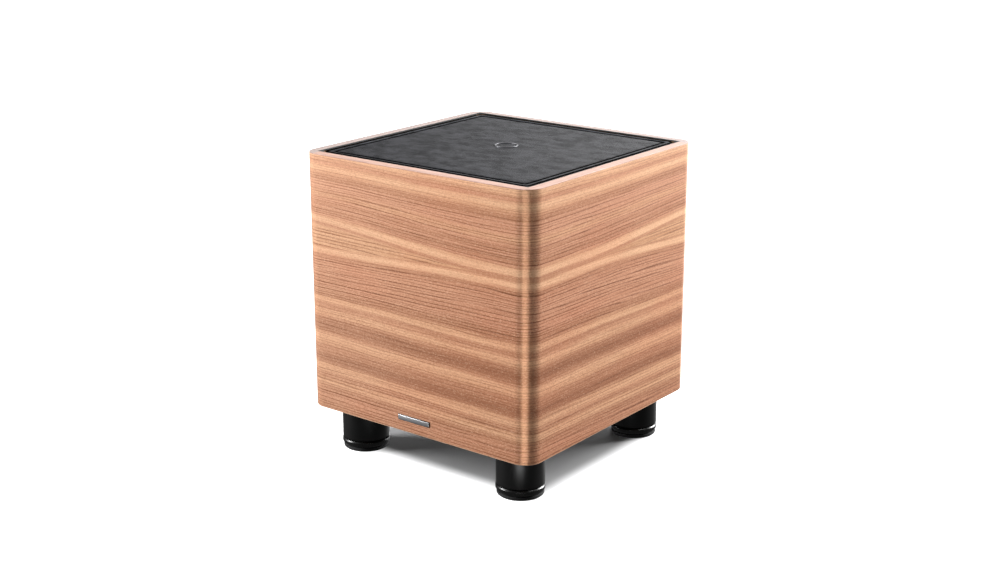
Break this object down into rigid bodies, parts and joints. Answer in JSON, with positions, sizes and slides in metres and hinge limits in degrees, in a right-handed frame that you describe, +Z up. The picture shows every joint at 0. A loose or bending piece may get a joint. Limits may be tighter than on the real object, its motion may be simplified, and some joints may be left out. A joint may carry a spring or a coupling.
{
  "type": "subwoofer",
  "caption": "Cube shaped active subwoofer in banded walnut veneer with a dark leather top inlay, black levelling feet, downward driver and rear amplifier panel.",
  "frame": {"origin": "on the floor, under the centre of the cabinet", "axes": "+Z up; the badge side faces -Y; the amplifier panel faces +Y"},
  "size_m": [0.35, 0.353, 0.39],
  "materials": {
    "fibreboard": "raw medium density fibreboard",
    "walnut_veneer": "light banded walnut veneer, satin lacquer",
    "rim_wood": "pale satin wood edging",
    "plywood": "thin plywood",
    "grey_leather": "fine grained dark grey leather",
    "polished_metal": "polished",
    "satin_badge_metal": "brushed",
    "wadding": "loose polyester wadding",
    "satin_black_metal": "satin black",
    "gloss_black_metal": "gloss black",
    "foot_rubber": "matte moulded rubber",
    "zinc_steel": "zinc plated",
    "black_screw_steel": "blackened",
    "cast_basket": "textured black",
    "foam_gasket": "closed cell foam",
    "motor_steel": "plated steel",
    "ferrite": "sintered ferrite",
    "paper_cone": "pressed black paper",
    "former_sheet": "thin sheet",
    "copper_wire": "enamelled copper winding",
    "surround_rubber": "satin rubber",
    "spider_cloth": "pressed treated cloth",
    "black_plastic": "moulded",
    "black_aluminium": "black anodised",
    "plated_sheet": "plated steel sheet",
    "circuit_board": "soldered circuit board",
    "fin_aluminium": "anodised extrusion",
    "transformer_wrap": "film wrapped winding",
    "capacitor_sleeve": "shrink sleeve",
    "pin_brass": "plated brass",
    "switch_plastic": "moulded",
    "jack_plating": "plated brass",
    "knob_plastic": "moulded",
    "led_lens": "clear lens",
    "lead_insulation": "flexible insulation"
  },
  "bodies": {
    "cabinet": {"amp_board": "circuit_board", "amp_cover": "plated_sheet", "amp_gasket": "foam_gasket", "amp_screws": "black_screw_steel", "amp_tray": "black_aluminium", "board_standoffs": "zinc_steel", "bottom_baffle": "fibreboard", "control_board": "circuit_board", "emblem_ring": "polished_metal", "foot_bolts": "zinc_steel", "foot_column_fl": "satin_black_metal", "foot_column_fr": "satin_black_metal", "foot_column_rl": "satin_black_metal", "foot_column_rr": "satin_black_metal", "front_badge": "satin_badge_metal", "front_panel": "fibreboard", "heat_sink": "fin_aluminium", "inlay_board": "plywood", "inlet_pins": "pin_brass", "leather_cover": "grey_leather", "left_panel": "fibreboard", "mains_inlet": "black_plastic", "phono_jacks": "jack_plating", "power_switch_body": "black_plastic", "power_transformer": "transformer_wrap", "rear_panel": "fibreboard", "reservoir_capacitors": "capacitor_sleeve", "right_panel": "fibreboard", "rim_veneer": "rim_wood", "speaker_leads": "lead_insulation", "status_led": "led_lens", "top_board": "fibreboard", "veneer_wrap": "walnut_veneer", "wadding_pads": "wadding", "window_brace": "fibreboard", "woofer_basket": "cast_basket", "woofer_gasket": "foam_gasket", "woofer_magnet": "ferrite", "woofer_screws": "black_screw_steel", "woofer_spider": "spider_cloth", "woofer_surround": "surround_rubber", "woofer_terminals": "black_plastic", "woofer_top_plate": "motor_steel", "woofer_yoke": "motor_steel"},
    "cone": {"woofer_cone": "paper_cone", "woofer_dust_cap": "paper_cone", "voice_coil_former": "former_sheet", "voice_coil": "copper_wire"},
    "volume": {"volume_knob": "knob_plastic"},
    "crossover": {"crossover_knob": "knob_plastic"},
    "rocker": {"power_rocker": "switch_plastic"},
    "slider": {"phase_slider": "switch_plastic"},
    "pad_fl": {"foot_pad_fl": "foot_rubber"},
    "ring_fl": {"foot_adjuster_fl": "gloss_black_metal"},
    "pad_fr": {"foot_pad_fr": "foot_rubber"},
    "ring_fr": {"foot_adjuster_fr": "gloss_black_metal"},
    "pad_rl": {"foot_pad_rl": "foot_rubber"},
    "ring_rl": {"foot_adjuster_rl": "gloss_black_metal"},
    "pad_rr": {"foot_pad_rr": "foot_rubber"},
    "ring_rr": {"foot_adjuster_rr": "gloss_black_metal"}
  },
  "joints": [
    {"name": "cone_travel", "type": "slide", "parent": "cabinet", "child": "cone", "axis": [0, 0, 1], "range_m": [-0.009, 0.009], "stiffness_N_per_m": 3000, "deforming": ["woofer_surround", "woofer_spider"]},
    {"name": "foot_fl_extend", "type": "slide", "parent": "cabinet", "child": "pad_fl", "axis": [0, 0, -1], "range_m": [0, 0.0075]},
    {"name": "foot_fl_turn", "type": "hinge", "parent": "pad_fl", "child": "ring_fl", "pos_m": [-0.125, -0.125, 0.01], "axis": [0, 0, 1], "range_deg": [0, 2160]},
    {"name": "foot_fr_extend", "type": "slide", "parent": "cabinet", "child": "pad_fr", "axis": [0, 0, -1], "range_m": [0, 0.0075]},
    {"name": "foot_fr_turn", "type": "hinge", "parent": "pad_fr", "child": "ring_fr", "pos_m": [0.125, -0.125, 0.01], "axis": [0, 0, 1], "range_deg": [0, 2160]},
    {"name": "foot_rl_extend", "type": "slide", "parent": "cabinet", "child": "pad_rl", "axis": [0, 0, -1], "range_m": [0, 0.0075]},
    {"name": "foot_rl_turn", "type": "hinge", "parent": "pad_rl", "child": "ring_rl", "pos_m": [-0.125, 0.125, 0.01], "axis": [0, 0, 1], "range_deg": [0, 2160]},
    {"name": "foot_rr_extend", "type": "slide", "parent": "cabinet", "child": "pad_rr", "axis": [0, 0, -1], "range_m": [0, 0.0075]},
    {"name": "foot_rr_turn", "type": "hinge", "parent": "pad_rr", "child": "ring_rr", "pos_m": [0.125, 0.125, 0.01], "axis": [0, 0, 1], "range_deg": [0, 2160]},
    {"name": "volume_turn", "type": "hinge", "parent": "cabinet", "child": "volume", "pos_m": [-0.072, 0.17, 0.312], "axis": [0, 1, 0], "range_deg": [-150, 150]},
    {"name": "crossover_turn", "type": "hinge", "parent": "cabinet", "child": "crossover", "pos_m": [-0.03, 0.17, 0.312], "axis": [0, 1, 0], "range_deg": [-150, 150]},
    {"name": "power_tilt", "type": "hinge", "parent": "cabinet", "child": "rocker", "pos_m": [0.07, 0.1586, 0.214], "axis": [1, 0, 0], "range_deg": [0, 16]},
    {"name": "phase_slide", "type": "slide", "parent": "cabinet", "child": "slider", "axis": [1, 0, 0], "range_m": [0, 0.0044]}
  ],
  "couplings": [
    {"joint": "foot_fl_turn", "follows": "foot_fl_extend", "rad_per_m": 5026.5},
    {"joint": "foot_fr_turn", "follows": "foot_fr_extend", "rad_per_m": 5026.5},
    {"joint": "foot_rl_turn", "follows": "foot_rl_extend", "rad_per_m": 5026.5},
    {"joint": "foot_rr_turn", "follows": "foot_rr_extend", "rad_per_m": 5026.5}
  ]
}
